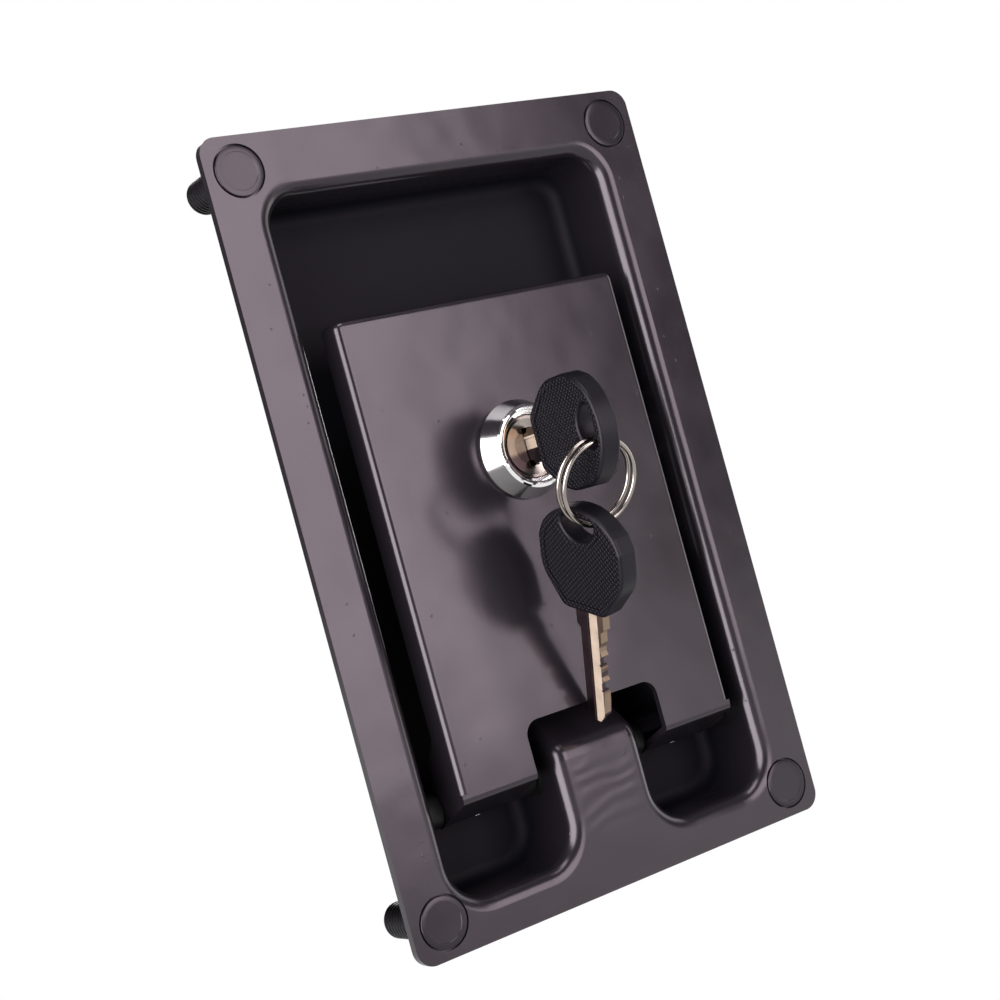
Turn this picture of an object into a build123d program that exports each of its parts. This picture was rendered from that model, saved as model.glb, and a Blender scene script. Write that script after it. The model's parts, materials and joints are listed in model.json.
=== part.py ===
from build123d import *
import math
import os

# Flush paddle latch with a key lock, for a cabinet or canopy door.
# Millimetres. X across the plate, Z up its long side, -Y out towards the hand.
# The origin is the centre of the flange's back face, which lies on the door.

# ---- driving dimensions -------------------------------------------------------------
# pressed dish
plate_width = 114.0
plate_height = 178.0
plate_corner_r = 4.0
sheet = 2.0
side_margin = 13.0
top_margin = 14.0
bottom_margin = 9.5
well_top_corner_r = 7.0
well_bottom_corner_r = 8.5
well_depth = 20.0
lip_r = 3.4
floor_r = 3.0
# tongue between the two pockets
tongue_half_width = 12.0
tongue_length = 23.5
tongue_slope = 48.0
tongue_slope_run = 11.0
tongue_bend_r = 5.0
# window in the well floor
window_side_margin = 19.0
window_above_cam = 13.6
window_above_guide = 4.0
window_corner_r = 6.0
collar_height = 4.0
collar_lip_r = 2.4
# mounting studs
stud_edge_x = 8.0
stud_edge_z = 7.75
stud_r = 4.0
stud_collar_r = 4.4
stud_relief = 0.4
stud_relief_length = 0.45
stud_length = 19.0
stud_head_r = 5.55
stud_head_thickness = 1.2
stud_head_proud = 0.15
stud_head_groove = 0.4
stud_head_edge = 0.3
stud_end_chamfer = 0.8
# paddle
paddle_side_space = 6.2
finger_space = 28.8
paddle_foot_height = 19.9
paddle_proud = 1.6
paddle_sheet = 1.5
paddle_flange = 6.5
paddle_bend_r = 1.6
paddle_corner_r = 2.0
paddle_foot_edge_r = 0.3
notch_side_space = 6.3
notch_height = 12.3
notch_corner_r = 3.5
notch_foot_r = 1.0
# pivot
pivot_y = 9.5
pivot_height = 19.0
shaft_r = 2.5
shaft_overhang = 1.3
shaft_chamfer = 0.3
ear_top_height = 8.0
ear_r = 4.2
ear_meet_angle = 37.0
ear_overlap = 0.4
running_clearance = 0.05
bush_wall = 0.7
bush_flange_r = 4.6
bush_flange_thickness = 1.0
side_gap = 0.3
spacer_r = 3.9
clip_r = 3.9
clip_thickness = 0.6
clip_groove = 0.6
clip_mouth_half = 1.75
drive_pin_r = 0.9
knuckle_wrap = 280.0
knuckle_gap_steps = 6
# latch bolt and the arm that draws it
paddle_travel = 38.0
bolt_pin_y = 21.0
bolt_pin_r = 2.0
fork_clearance = 0.25
fork_prong = 2.4
arm_half_width = 4.0
arm_hub_wall = 1.7
arm_web_share = 0.55
arm_past_pin = 1.8
arm_slot_root = 3.2
arm_end_r = 1.9
bolt_half_width = 8.0
bolt_front_y = 16.5
bolt_back_y = 25.5
bolt_reach = 12.0
bolt_bevel_depth = 6.5
bolt_bevel_length = 9.5
bolt_tail_length = 8.5
bolt_window_half = 6.9
bolt_edge_r = 0.8
bolt_head_bridge = 0.8
slide_gap = 0.3
# guide bracket behind the tongue
guide_sheet = 1.5
guide_length = 50.0
guide_below_well = 0.5
guide_foot = 14.0
guide_rivet_r = 2.0
guide_rivet_from_end = 10.0
guide_rivet_inset = 7.0
rivet_head_height = 1.3
# domed head as (share of the shank's radius, share of the head's height)
rivet_dome = ((1.8, 0.0), (1.6, 0.6), (0.9, 1.0))
# return spring
spring_r = 2.5
spring_wire = 0.7
spring_turns = 9
spring_spigot_length = 4.0
# lock
lock_height = 70.0
bezel_base_r = 11.2
bezel_front_r = 9.15
bezel_height = 5.9
bezel_recess_depth = 1.6
bezel_foot = 1.0
bezel_foot_edge = 0.3
# rolled front of the bezel as (radius from its front radius, depth from its front)
bezel_nose = ((0.25, 0.45), (-0.1, 0.1), (-0.45, 0.0), (-0.75, 0.0), (-1.05, 0.15), (-1.15, 0.5))
barrel_r = 9.3
barrel_flat = 8.1
barrel_length = 22.0
barrel_end_chamfer = 0.5
plug_r = 6.2
plug_head_r = 7.2
plug_head_length = 2.5
plug_head_web = 0.6
plug_dish_depth = 0.7
plug_dish_mid_r = 4.0
plug_dish_mid_depth = 0.5
plug_rim = 0.9
plug_rim_edge = 0.3
keyway_half_width = 1.2
keyway_half_height = 4.3
nut_af = 24.0
nut_thickness = 4.0
nut_chamfer = 1.0
washer_tooth_r = 12.0
lock_washer_thickness = 0.9
lock_washer_teeth = 16
lock_washer_notch_depth = 1.1
lock_washer_notch_width = 1.6
wafer_count = 6
wafer_thickness = 1.0
wafer_pitch = 3.0
wafer_half_height = 5.5
wafer_half_width = 2.8
wafer_clearance = 0.05
wafer_window_clearance = 0.1
tail_half = 3.5
cam_length = 22.0
cam_half_width = 7.0
cam_thickness = 2.0
stop_washer_thickness = 0.8
stop_washer_r = 8.3
stop_tab_half_width = 2.5
stop_tab_reach = 10.1
cam_screw_r = 2.5
cam_screw_head_r = 4.6
cam_screw_head_height = 2.8
cam_screw_depth = 6.0
cam_screw_edge = 1.4
recess_length = 4.6
recess_width = 0.9
recess_depth = 1.4
spring_washer_r = 4.4
spring_washer_thickness = 0.9
spring_washer_clearance = 0.2
spring_washer_split = 0.8
# cam keeper
keeper_reach = 14.0
keeper_half_height = 8.0
keeper_thickness = 1.8
keeper_corner_r = 2.5
keeper_rivet_r = 1.5
keeper_rivet_pitch = 8.0
keeper_foot = 9.0
# keys
bow_width = 24.7
bow_length = 24.0
bow_thickness = 5.3
bow_shoulder_width = 21.8
bow_arc_r = 14.0
bow_side_start = 3.0
bow_corner_length = 8.0
bow_corner_width = 6.2
bow_side_round_r = 9.0
bow_foot_round_r = 3.0
bow_shoulder_round_r = 3.0
bow_edge_r = 0.8
bow_border = 1.9
bow_slot_border = 1.5
bow_panel_depth = 0.25
bow_slot_width = 9.6
bow_slot_length = 5.2
bow_slot_inset = 2.3
bow_slot_straight = 1.9
bow_slot_corner_r = 1.1
bow_slot_rim_r = 0.7
bow_gap = 5.4
blade_thickness = 2.0
blade_width = 8.0
blade_length = 27.0
blade_embed = 9.0
shoulder_length = 4.0
shoulder_step = 1.0
shoulder_ramp = 0.8
blade_tip_half = 0.4
blade_tip_slope = 2.2
cut_depths = (0.6, 1.3, 0.8, 1.4, 0.5, 1.0)
cut_flat = 1.1
cut_peak_drop = 0.3
cut_lead = 1.8
groove_width = 2.6
groove_depth = 0.45
groove_z = 0.5
groove_start = 0.6
key_in_bow_clearance = 0.02
# split ring
ring_r = 9.4
ring_wire_r = 0.5
ring_turn_space = 2.0
ring_cross_from = 358.0
ring_cross_angle = 26.0
ring_point_step = 30.0
ring_offset_x = -1.3
ring_seat_depth = 1.7
ring_seat_height = 1.8
ring_tilt = 24.0
second_key_x = -3.4
second_key_depth_tilt = 23.0
second_key_side_tilt = 4.4
second_key_twist = 6.7
second_key_slack = 0.75
second_key_shift = -1.3

# ---- derived places -----------------------------------------------------------------
front_y = -sheet
well_half_width = plate_width / 2 - side_margin
well_top_z = plate_height / 2 - top_margin
well_bottom_z = -plate_height / 2 + bottom_margin
tongue_top_end_z = well_bottom_z + tongue_length
window_half_width = well_half_width - window_side_margin
stud_spacing_x = plate_width - 2 * stud_edge_x
stud_spacing_z = plate_height - 2 * stud_edge_z
paddle_half_width = well_half_width - paddle_side_space
paddle_top_z = well_top_z - finger_space
paddle_bottom_z = well_bottom_z + paddle_foot_height
notch_half_width = tongue_half_width + notch_side_space
notch_top_z = paddle_bottom_z + notch_height
pivot_z = well_bottom_z + pivot_height
bolt_tip_z = well_bottom_z - bolt_reach
guide_bottom_z = well_bottom_z - guide_below_well
guide_top_z = guide_bottom_z + guide_length
lock_z = paddle_bottom_z + lock_height
window_top_z = lock_z + cam_length + window_above_cam
window_bottom_z = guide_top_z + window_above_guide
beyond = 2 * plate_height
floor_front_y = front_y + well_depth
floor_back_y = floor_front_y + sheet
paddle_face_y = front_y - paddle_proud
paddle_back_y = paddle_face_y + paddle_sheet
wall_outer_x = well_half_width + sheet
knuckle_r = shaft_r + paddle_sheet
arm_reach = bolt_pin_y - pivot_y
half_travel = paddle_travel / 2
bolt_pin_z = pivot_z - arm_reach * math.tan(math.radians(half_travel))
head_top_z = bolt_pin_z + bolt_window_half + bolt_head_bridge
tail_top_z = head_top_z + bolt_tail_length
tail_front_y = floor_back_y + slide_gap
tail_mid_y = (tail_front_y + bolt_back_y) / 2
guide_inner_y = bolt_back_y + slide_gap
guide_back_y = guide_inner_y + guide_sheet
guide_inner_x = bolt_half_width + slide_gap
guide_outer_x = guide_inner_x + guide_sheet
bolt_stop_z = guide_bottom_z + guide_sheet + slide_gap
bezel_front_y = paddle_face_y - bezel_height
barrel_back_y = paddle_face_y + barrel_length
plug_front_y = bezel_front_y + bezel_recess_depth
stop_washer_y = barrel_back_y + side_gap
cam_y = stop_washer_y + stop_washer_thickness
cam_back_y = cam_y + cam_thickness
bow_inner_y = plug_front_y - bow_gap
bow_outer_y = bow_inner_y - bow_length


def turned(points, axis_z, axis_x=0.0):
    """Solid of revolution about the line along Y at (axis_x, axis_z); points are (radius, y)."""
    with BuildPart() as part:
        with BuildSketch(Plane.XY) as sketch:
            with BuildLine():
                Polyline(*points, close=True)
            make_face()
        revolve(axis=Axis.Y)
    return Pos(axis_x, 0, axis_z) * part.part


def along_x(radius, x0, x1, y, z):
    """Round bar along X."""
    bar = Cylinder(radius, x1 - x0, align=(Align.CENTER, Align.CENTER, Align.MIN))
    return Pos(x0, y, z) * (Rot(0, 90, 0) * bar)


def along_y(radius, y0, y1, x, z):
    """Round bar along Y."""
    bar = Cylinder(radius, y1 - y0, align=(Align.CENTER, Align.CENTER, Align.MIN))
    return Pos(x, y0, z) * (Rot(-90, 0, 0) * bar)


def block(x0, x1, y0, y1, z0, z1):
    """Plain block between two corners."""
    return Pos((x0 + x1) / 2, (y0 + y1) / 2, (z0 + z1) / 2) * Box(x1 - x0, y1 - y0, z1 - z0)


def plate_face(half_width, z0, z1, top_r, bottom_r):
    """Rounded rectangle drawn in the XZ plane."""
    plane = Plane(origin=(0, 0, 0), x_dir=(1, 0, 0), z_dir=(0, -1, 0))
    with BuildSketch(plane) as sketch:
        with BuildLine():
            Polyline((-half_width, z0), (half_width, z0), (half_width, z1), (-half_width, z1), close=True)
        make_face()
        fillet([v for v in sketch.vertices() if v.Y > z1 - 0.01], top_r)
        fillet([v for v in sketch.vertices() if v.Y < z0 + 0.01], bottom_r)
    return sketch.sketch


def plate_block(half_width, z0, z1, y0, y1, top_r, bottom_r):
    """Rounded plate standing in the XZ plane between two depths."""
    return Pos(0, y0, 0) * extrude(plate_face(half_width, z0, z1, top_r, bottom_r), y1 - y0, dir=(0, 1, 0))


def side_profile(points, x0, x1):
    """Prism along X from a closed outline of (y, z) points."""
    plane = Plane(origin=(x0, 0, 0), x_dir=(0, 1, 0), z_dir=(1, 0, 0))
    with BuildPart() as part:
        with BuildSketch(plane):
            with BuildLine():
                Polyline(*points, close=True)
            make_face()
        extrude(amount=x1 - x0)
    return part.part


def tongue_block(grow):
    """Tongue that stands up in the well; grow shrinks it by the sheet for its hollow side."""
    y0 = front_y + grow
    slope = math.radians(tongue_slope)
    shift = grow / math.sin(slope)
    y1 = y0 + tongue_slope_run * math.tan(slope)
    z0 = tongue_top_end_z - shift + grow / math.tan(slope)
    z1 = z0 + tongue_slope_run
    tongue = side_profile([(y0, -beyond), (beyond, -beyond), (beyond, z1), (y1, z1), (y0, z0)],
                          -(tongue_half_width - grow), tongue_half_width - grow)
    across = tongue.edges().filter_by(Axis.X)
    bends = [e for e in across if abs(e.center().Z - z0) < 0.01]
    bends += [e for e in across if abs(e.center().Z - z1) < 0.01 and abs(e.center().Y - y1) < 0.01]
    return fillet(bends, tongue_bend_r - grow)


def dish_side(grow):
    """One side of the pressed dish as a solid: the space in front of it, moved back by grow."""
    y0 = front_y + grow
    half = well_half_width + grow
    low = well_bottom_z - grow
    well = plate_block(half, low, well_top_z + grow, y0 - well_depth, floor_front_y + grow,
                       well_top_corner_r + grow, well_bottom_corner_r + grow)
    well = well - tongue_block(grow)
    base_x = tongue_half_width - grow
    base = [e for e in well.edges().filter_by(Axis.Y)
            if abs(abs(e.center().X) - base_x) < 0.01 and abs(e.center().Z - low) < 0.01]
    well = fillet(base, well_bottom_corner_r + grow)
    slab = block(-plate_width, plate_width, y0 - well_depth, y0, -plate_height, plate_height)
    front = slab + well
    lip = [e for e in front.edges()
           if is_lip_edge(e, y0, base_x, half, low, well_top_z + grow)]
    front = fillet(lip, lip_r - grow)
    floor = [e for e in front.edges() if abs(e.bounding_box().min.Y - (floor_front_y + grow)) < 0.01
             and abs(e.bounding_box().max.Y - (floor_front_y + grow)) < 0.01]
    return fillet(floor, floor_r + grow)


def is_lip_edge(edge, y0, base_x, half, low, high):
    """True for the edges round the mouth of the well and down both sides of the tongue."""
    box = edge.bounding_box()
    inside = max(box.max.X, -box.min.X) < half + 0.1 and box.max.Z < high + 0.1 and box.min.Z > low - 0.1
    at_mouth = abs(box.min.Y - y0) < 0.01 and abs(box.max.Y - y0) < 0.01
    across_tongue = at_mouth and box.min.X < 0 < box.max.X and box.max.X < base_x + 0.1
    in_side = abs(abs(box.min.X) - base_x) < 0.01 and box.max.X - box.min.X < 0.01
    below_slope = box.max.Z < tongue_top_end_z - 2 * tongue_bend_r
    down_side = in_side and not below_slope and box.min.Y < floor_front_y - 1
    return inside and (at_mouth and not across_tongue or down_side)


def at_each_stud(shape):
    """Copies of a shape at the four stud places, with the shape drawn on the Y axis."""
    half_x, half_z = stud_spacing_x / 2, stud_spacing_z / 2
    return [Pos(sx * half_x, 0, sz * half_z) * shape for sx in (-1, 1) for sz in (-1, 1)]


def dish_plate():
    """Pressed dish: flange, rolled lip, well, tongue, collared window and its holes."""
    flange = plate_block(plate_width / 2, -plate_height / 2, plate_height / 2, front_y - 1,
                         floor_back_y + 1, plate_corner_r, plate_corner_r)
    dish = (dish_side(sheet) & flange) - dish_side(0)
    collar_outer = plate_block(window_half_width + sheet, window_bottom_z - sheet, window_top_z + sheet,
                               floor_front_y, floor_back_y + collar_height,
                               window_corner_r + sheet, window_corner_r + sheet)
    window = plate_block(window_half_width, window_bottom_z, window_top_z, floor_front_y - 1,
                         floor_back_y + collar_height + 1, window_corner_r, window_corner_r)
    dish = dish + collar_outer - window
    rim = [e for e in dish.edges() if is_window_rim(e)]
    dish = fillet(rim, collar_lip_r)
    for hole in at_each_stud(along_y(stud_collar_r, front_y - 1, 1, 0, 0)):
        dish = dish - hole
    seat_r = stud_head_r + stud_head_groove
    seat_y = front_y + stud_head_thickness - stud_head_proud
    for seat in at_each_stud(along_y(seat_r, front_y - 1, seat_y, 0, 0)):
        dish = dish - seat
    dish = dish - along_x(shaft_r + bush_wall, -wall_outer_x - 1, wall_outer_x + 1, pivot_y, pivot_z)
    for x, z in guide_rivet_places():
        dish = dish - countersunk(guide_rivet_r, floor_front_y, floor_back_y + 1, x, z)
    for x, z in keeper_rivet_places():
        dish = dish - along_y(keeper_rivet_r, floor_front_y - 1, floor_back_y + 1, x, z)
    return dish


def is_window_rim(edge):
    """True for the front inner edge of the window in the well floor."""
    box = edge.bounding_box()
    in_floor = abs(box.min.Y - floor_front_y) < 0.01 and abs(box.max.Y - floor_front_y) < 0.01
    in_x = max(box.max.X, -box.min.X) < window_half_width + 0.1
    return in_floor and in_x and box.max.Z < window_top_z + 0.1 and box.min.Z > window_bottom_z - 0.1


def countersunk(radius, front, back, x, z):
    """Hole or shank with a conical head that is flush with the front face."""
    points = [(0, front), (2 * radius, front), (radius, front + radius), (radius, back), (0, back)]
    return turned(points, z, x)


def guide_rivet_places():
    """Rivets that hold the guide bracket, two on each side of the bolt."""
    x = guide_outer_x + guide_rivet_inset
    heights = (guide_bottom_z + guide_rivet_from_end, guide_top_z - guide_rivet_from_end)
    return [(sx * x, z) for sx in (-1, 1) for z in heights]


def keeper_rivet_places():
    """Rivets that hold the cam keeper beside the window."""
    x = keeper_rivet_x()
    return [(x, lock_z + s * keeper_rivet_pitch / 2) for s in (-1, 1)]


def keeper_rivet_x():
    """Middle of the flat strip between the window rim and the well wall."""
    return (window_half_width + collar_lip_r + well_half_width - floor_r) / 2


def mounting_studs():
    """Four studs pressed into the flange, heads just proud of its front."""
    head_y = front_y - stud_head_proud
    neck_y = head_y + stud_head_thickness
    relief_r = stud_r - stud_relief
    end_r = stud_r - stud_end_chamfer
    rim_r = stud_head_r - stud_head_edge
    end_y = stud_length - stud_end_chamfer
    stud = turned([(0, head_y), (rim_r, head_y), (stud_head_r, head_y + stud_head_edge),
                   (stud_head_r, neck_y), (stud_collar_r, neck_y), (stud_collar_r, 0), (relief_r, 0),
                   (relief_r, stud_relief_length), (stud_r, stud_relief_length), (stud_r, end_y),
                   (end_r, stud_length), (0, stud_length)], 0)
    return Compound(children=at_each_stud(stud))


def pivot_bushes():
    """Flanged bushes in the outer walls and in the sides of the tongue."""
    solids = []
    for wall_x, inward in ((well_half_width, -1), (-well_half_width, 1),
                           (tongue_half_width, 1), (-tongue_half_width, -1)):
        body_end = wall_x - inward * sheet
        flange_end = wall_x + inward * bush_flange_thickness
        body = along_x(shaft_r + bush_wall, min(wall_x, body_end), max(wall_x, body_end), pivot_y, pivot_z)
        flange = along_x(bush_flange_r, min(wall_x, flange_end), max(wall_x, flange_end), pivot_y, pivot_z)
        bore = along_x(shaft_r + running_clearance, -beyond, beyond, pivot_y, pivot_z)
        solids.append(body + flange - bore)
    return Compound(children=solids)


def bolt_guide():
    """Hat-section bracket that carries the bolt behind the tongue, with a spring seat on top."""
    foot_x = guide_outer_x + guide_foot
    foot_y = floor_back_y + guide_sheet
    outline = [(-foot_x, floor_back_y), (-guide_inner_x, floor_back_y), (-guide_inner_x, guide_inner_y),
               (guide_inner_x, guide_inner_y), (guide_inner_x, floor_back_y), (foot_x, floor_back_y),
               (foot_x, foot_y), (guide_outer_x, foot_y), (guide_outer_x, guide_back_y),
               (-guide_outer_x, guide_back_y), (-guide_outer_x, foot_y), (-foot_x, foot_y)]
    with BuildPart() as part:
        with BuildSketch(Plane.XY.offset(guide_bottom_z)):
            with BuildLine():
                Polyline(*outline, close=True)
            make_face()
        extrude(amount=guide_top_z - guide_bottom_z)
        outer_bends = [e for e in part.edges().filter_by(Axis.Z) if e.center().Y > guide_back_y - 0.1]
        fillet(outer_bends, guide_sheet)
        feet = [e for e in part.edges().filter_by(Axis.Y) if abs(e.center().X) > foot_x - 0.1]
        fillet(feet, 3 * guide_sheet)
    guide = part.part
    seat = block(-guide_inner_x, guide_inner_x, tail_front_y, guide_inner_y, guide_top_z - guide_sheet,
                 guide_top_z)
    spigot = Pos(0, tail_mid_y, guide_top_z - guide_sheet - spring_spigot_length / 2) * Cylinder(
        spring_r - spring_wire - slide_gap, spring_spigot_length)
    stop = block(-guide_inner_x, guide_inner_x, bolt_back_y - bolt_bevel_depth / 2, guide_inner_y,
                 guide_bottom_z, guide_bottom_z + guide_sheet)
    notch = block(-bolt_tip_half_width() - slide_gap, bolt_tip_half_width() + slide_gap, 0, guide_inner_y,
                  guide_bottom_z - 1, guide_bottom_z + guide_sheet + 1)
    guide = guide + seat + spigot + (stop - notch)
    for x, z in guide_rivet_places():
        guide = guide - along_y(guide_rivet_r, floor_back_y - 1, floor_back_y + guide_sheet + 1, x, z)
    return guide


def bolt_tip_half_width():
    """The bolt's nose is narrower than its body by a shoulder on each side."""
    return bolt_half_width - guide_sheet


def rivet_end(radius, y, outward):
    """Outline of a rivet's domed head on the face at y, from its edge to its middle."""
    dome = [(share_r * radius, y + outward * share_h * rivet_head_height) for share_r, share_h in rivet_dome]
    return dome + [(0, y + outward * rivet_head_height)]


def guide_rivets():
    """Countersunk rivets, flush inside the well, with round tails behind the bracket."""
    back = floor_back_y + guide_sheet
    r = guide_rivet_r
    points = [(0, floor_front_y), (2 * r, floor_front_y), (r, floor_front_y + r), (r, back)]
    points += rivet_end(r, back, 1)
    return Compound(children=[turned(points, z, x) for x, z in guide_rivet_places()])


def bolt_spring():
    """Compression spring between the bolt's tail and the bracket's seat."""
    bottom = tail_top_z + spring_wire / 2 + running_clearance
    top = guide_top_z - guide_sheet - spring_wire / 2 - running_clearance
    path = Helix(pitch=(top - bottom) / spring_turns, height=top - bottom, radius=spring_r - spring_wire / 2,
                 center=(0, 0, bottom))
    plane = Plane(origin=path @ 0, z_dir=path % 0)
    coil = sweep(plane * Circle(spring_wire / 2), path=path, is_frenet=True)
    return Pos(0, tail_mid_y, 0) * coil


def latch_bolt():
    """Sliding bolt: bevelled nose, slot for the arm, and a thin tail that carries the spring."""
    nose = bolt_tip_half_width()
    shoulder_z = bolt_stop_z
    body = block(-bolt_half_width, bolt_half_width, bolt_front_y, bolt_back_y, shoulder_z, head_top_z)
    tip = block(-nose, nose, bolt_front_y, bolt_back_y, bolt_tip_z, shoulder_z)
    tail = block(-bolt_half_width, bolt_half_width, tail_front_y, bolt_back_y, head_top_z, tail_top_z)
    bolt = body + tip + tail
    bevel_front_y = bolt_back_y - bolt_bevel_depth
    bevel_top_z = bolt_tip_z + bolt_bevel_length
    bevel = side_profile([(bolt_back_y + 1, bolt_tip_z - 1), (bevel_front_y, bolt_tip_z - 1),
                          (bevel_front_y, bolt_tip_z), (bolt_back_y, bevel_top_z),
                          (bolt_back_y + 1, bevel_top_z)], -nose - 1, nose + 1)
    bolt = bolt - bevel
    edges = [e for e in bolt.edges().filter_by(Axis.Z) if e.center().Z < shoulder_z]
    bolt = fillet(edges, bolt_edge_r)
    slot_half = arm_half_width + slide_gap
    slot = block(-slot_half, slot_half, 0, bolt_back_y + 1, bolt_pin_z - bolt_window_half,
                 bolt_pin_z + bolt_window_half)
    spigot = Pos(0, tail_mid_y, tail_top_z + spring_spigot_length / 2) * Cylinder(
        spring_r - spring_wire - slide_gap, spring_spigot_length)
    bolt = bolt - slot + spigot
    return bolt - along_x(bolt_pin_r, -bolt_half_width - 1, bolt_half_width + 1, bolt_pin_y, bolt_pin_z)


def bolt_pin():
    """Cross pin in the bolt that the arm's fork pushes."""
    return along_x(bolt_pin_r, -bolt_half_width, bolt_half_width, bolt_pin_y, bolt_pin_z)


def cam_keeper():
    """Strip in front of the window that the cam hooks behind."""
    x1 = keeper_rivet_x() + keeper_foot / 2
    keeper = plate_block((x1 - keeper_reach) / 2, lock_z - keeper_half_height, lock_z + keeper_half_height,
                         floor_front_y - keeper_thickness, floor_front_y, keeper_corner_r, keeper_corner_r)
    keeper = Pos((x1 + keeper_reach) / 2, 0, 0) * keeper
    for x, z in keeper_rivet_places():
        keeper = keeper - along_y(keeper_rivet_r, front_y, floor_back_y, x, z)
    return keeper


def keeper_rivets():
    """Dome rivets through the keeper and the well floor."""
    r = keeper_rivet_r
    front = floor_front_y - keeper_thickness
    points = rivet_end(r, front, -1)[::-1] + [(r, front), (r, floor_back_y)] + rivet_end(r, floor_back_y, 1)
    return Compound(children=[turned(points, z, x) for x, z in keeper_rivet_places()])


def paddle_plate():
    """Pressed paddle: flanged tray, notch over the tongue and two legs rolled round the shaft."""
    tray = plate_block(paddle_half_width, paddle_bottom_z, paddle_top_z, paddle_face_y,
                       paddle_face_y + paddle_flange, paddle_corner_r, paddle_foot_edge_r)
    front = [e for e in tray.edges()
             if e.bounding_box().max.Y < paddle_face_y + 0.01 and e.center().Z > paddle_bottom_z + 1]
    tray = fillet(front, paddle_bend_r)
    inner_r = paddle_corner_r - paddle_sheet
    inner = plate_block(paddle_half_width - paddle_sheet, paddle_bottom_z - paddle_flange,
                        paddle_top_z - paddle_sheet, paddle_back_y, paddle_face_y + paddle_flange + 1,
                        inner_r, inner_r)
    tray = tray - inner
    corner = paddle_bottom_z + paddle_flange
    tray = tray - block(-beyond, beyond, paddle_back_y, beyond, paddle_bottom_z - 1, corner)
    notch = plate_block(notch_half_width, well_bottom_z, notch_top_z, paddle_face_y - 1, well_depth,
                        notch_corner_r, notch_foot_r)
    paddle = tray - notch
    for side in (-1, 1):
        paddle = paddle + leg(side)
    hole = along_y(barrel_r + running_clearance, paddle_face_y - 1, paddle_back_y + 1, 0, lock_z)
    flats = block(-barrel_flat - running_clearance, barrel_flat + running_clearance, paddle_face_y - 1,
                  paddle_back_y + 1, -beyond, beyond)
    paddle = paddle - (hole & flats)
    for x in drive_pin_places()[:2]:
        paddle = paddle - Pos(x, pivot_y, pivot_z) * Cylinder(drive_pin_r, beyond)
    return paddle


def leg(side):
    """Bottom strip of the paddle, bent back and rolled round the shaft."""
    lean = leg_lean()
    c, s = math.cos(lean), math.sin(lean)
    tangent_y = pivot_y - knuckle_r * c
    tangent_z = pivot_z - knuckle_r * s
    run = (tangent_y - paddle_face_y) / s
    top_y = tangent_y - run * s
    top_z = tangent_z + run * c
    inner = [(tangent_y + paddle_sheet * c, tangent_z + paddle_sheet * s)]
    step = (paddle_back_y - inner[0][0]) / -s
    inner.append((paddle_back_y, inner[0][1] + step * c))
    outline = [(top_y, top_z), (tangent_y, tangent_z), inner[0], inner[1],
               (paddle_back_y, paddle_bottom_z + 2), (paddle_face_y, paddle_bottom_z + 2)]
    x0, x1 = sorted((side * notch_half_width, side * paddle_half_width))
    strip = side_profile(outline, x0, x1)
    bend = [e for e in strip.edges().filter_by(Axis.X)
            if abs(e.center().Y - top_y) < 0.01 and abs(e.center().Z - top_z) < 0.01]
    strip = fillet(bend, paddle_bend_r) + ear(side, tangent_y, tangent_z, top_z)
    ring = along_x(knuckle_r, x0, x1, pivot_y, pivot_z) - along_x(shaft_r, x0, x1, pivot_y, pivot_z)
    start = math.pi + lean
    end = start + math.radians(knuckle_wrap)
    far = 3 * knuckle_r
    gap = [(pivot_y, pivot_z)]
    for i in range(knuckle_gap_steps + 1):
        angle = end + (start + 2 * math.pi - end) * i / knuckle_gap_steps
        gap.append((pivot_y + far * math.cos(angle), pivot_z + far * math.sin(angle)))
    return strip + (ring - side_profile(gap, x0 - 1, x1 + 1))


def ear(side, tangent_y, tangent_z, top_z):
    """Side flange of a leg, carried down and back round the shaft."""
    outer = side * paddle_half_width
    x0, x1 = sorted((outer - side * paddle_sheet, outer))
    flange_y = paddle_face_y + paddle_flange
    high = paddle_bottom_z + paddle_flange + ear_top_height
    meet = math.radians(ear_meet_angle)
    meet_y = pivot_y + ear_r * math.cos(meet)
    meet_z = pivot_z + ear_r * math.sin(meet)
    cheek = side_profile([(paddle_back_y, high), (flange_y, high), (meet_y, meet_z), (pivot_y, pivot_z),
                          (tangent_y, tangent_z), (paddle_back_y, top_z + ear_overlap)], x0, x1)
    boss = along_x(ear_r, x0, x1, pivot_y, pivot_z)
    return cheek + boss - along_x(shaft_r, x0 - 1, x1 + 1, pivot_y, pivot_z)


def leg_lean():
    """Angle of the leg from the paddle's plane, set by where its bend starts."""
    height = paddle_bottom_z - pivot_z
    depth = pivot_y - paddle_face_y
    span = math.hypot(height, depth)
    return math.atan2(depth, height) - math.asin(knuckle_r / span)


def drive_pin_places():
    """Pins lock the two knuckles and the arm's hub to the shaft."""
    middle = (notch_half_width + paddle_half_width) / 2
    return [-middle, middle, 0.0]


def pivot_shaft():
    """Shaft through both walls and the tongue, with a groove near each end for its clip."""
    half = wall_outer_x + shaft_overhang
    shaft = along_x(shaft_r, -half, half, pivot_y, pivot_z)
    ends = [e for e in shaft.edges() if abs(abs(e.center().X) - half) < 0.01]
    shaft = chamfer(ends, shaft_chamfer)
    for side in (-1, 1):
        x0, x1 = clip_span(side)
        core = along_x(shaft_r - clip_groove, x0, x1, pivot_y, pivot_z)
        shaft = shaft - (along_x(shaft_r + 1, x0, x1, pivot_y, pivot_z) - core)
    for x in drive_pin_places():
        shaft = shaft - Pos(x, pivot_y, pivot_z) * Cylinder(drive_pin_r, beyond)
    return shaft


def clip_span(side):
    """X range of the retaining clip outside one wall."""
    inner = wall_outer_x + side_gap
    return sorted((side * inner, side * (inner + clip_thickness)))


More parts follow.
